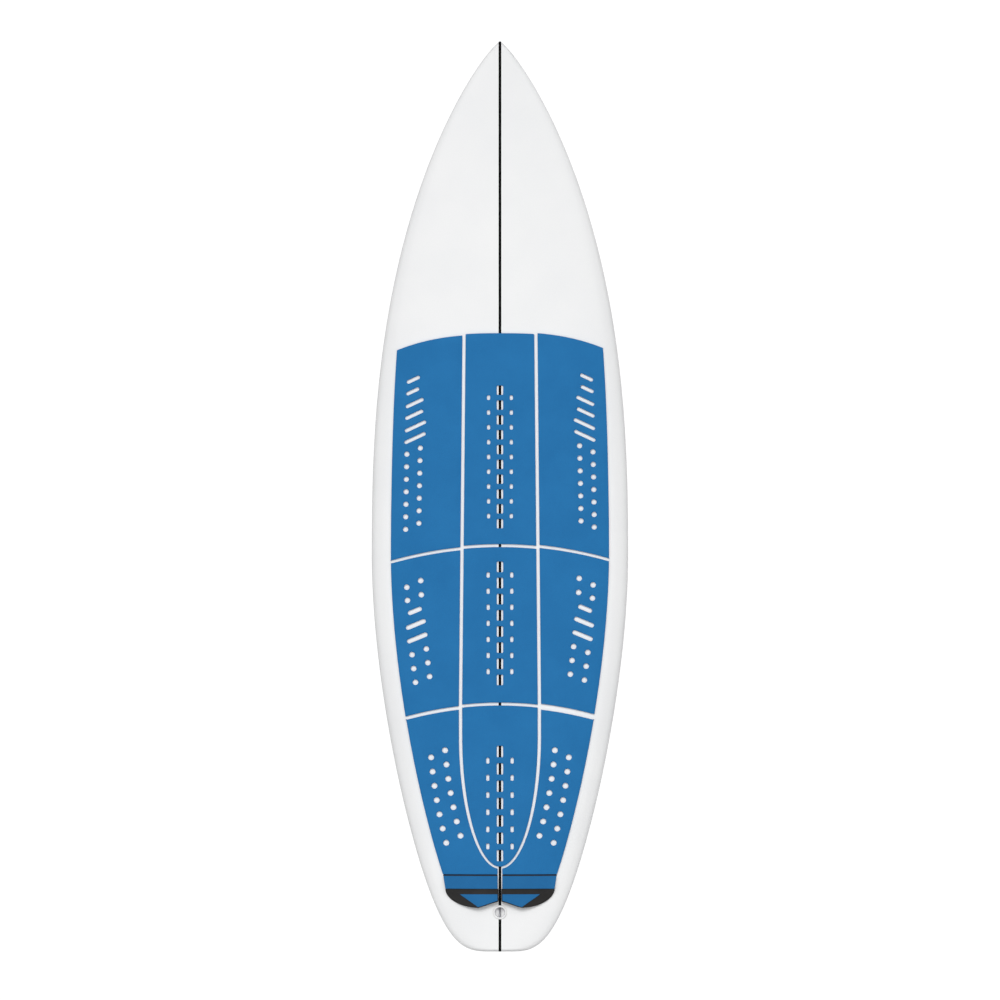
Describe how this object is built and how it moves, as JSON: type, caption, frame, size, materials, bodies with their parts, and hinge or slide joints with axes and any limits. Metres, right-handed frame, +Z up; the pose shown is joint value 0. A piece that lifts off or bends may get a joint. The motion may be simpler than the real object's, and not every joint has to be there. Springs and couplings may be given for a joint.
{
  "type": "shortboard surfboard",
  "caption": "White shortboard with a pointed nose and rounded squash tail, blue segmented deck grip with a tail kick, leash plug on the stringer and removable fins.",
  "frame": {"origin": "on the ground plane under the middle of the board's length and width, with the board level and its fin tips down; z = 0 is the tip of the side fins", "axes": "+Y from the tail to the nose, +X across the deck to the right as seen from above with the nose away, +Z up out of the deck"},
  "size_m": [0.5178, 1.829, 0.2226],
  "materials": {
    "foam": "matte",
    "stringer": "satin",
    "laminate": "gloss",
    "grip_blue": "matte",
    "grip_black": "matte",
    "adhesive": "satin",
    "plug_plastic": "gloss",
    "steel": "satin",
    "box_plastic": "satin",
    "fin_composite": "satin"
  },
  "bodies": {
    "board": {"foam_left": "foam", "foam_right": "foam", "stringer": "stringer", "deck_glass": "laminate", "bottom_glass": "laminate", "front_pad_left": "grip_blue", "front_pad_centre": "grip_blue", "front_pad_right": "grip_blue", "mid_pad_left": "grip_blue", "mid_pad_centre": "grip_blue", "mid_pad_right": "grip_blue", "tail_pad_left": "grip_blue", "tail_pad_centre": "grip_blue", "tail_pad_right": "grip_blue", "kick_core_left": "grip_black", "kick_core_right": "grip_black", "kick_face_left": "grip_blue", "kick_face_right": "grip_blue", "kick_top_left": "grip_blue", "kick_top_right": "grip_blue", "front_adhesive": "adhesive", "mid_adhesive": "adhesive", "tail_adhesive": "adhesive", "leash_cup": "plug_plastic", "leash_bar": "steel", "fin_box_left": "box_plastic", "fin_box_centre": "box_plastic", "fin_box_right": "box_plastic", "fin_screws": "steel"},
    "fin_left": {"fin_left": "fin_composite"},
    "fin_centre": {"fin_centre": "fin_composite"},
    "fin_right": {"fin_right": "fin_composite"}
  },
  "joints": [
    {"name": "fin_left_pull", "type": "slide", "parent": "board", "child": "fin_left", "axis": [-0.1314, -0.0795, -0.9881], "range_m": [0, 0.045]},
    {"name": "fin_centre_pull", "type": "slide", "parent": "board", "child": "fin_centre", "axis": [0, -0.1155, -0.9933], "range_m": [0, 0.045]},
    {"name": "fin_right_pull", "type": "slide", "parent": "board", "child": "fin_right", "axis": [0.1314, -0.0795, -0.9881], "range_m": [0, 0.045]}
  ]
}
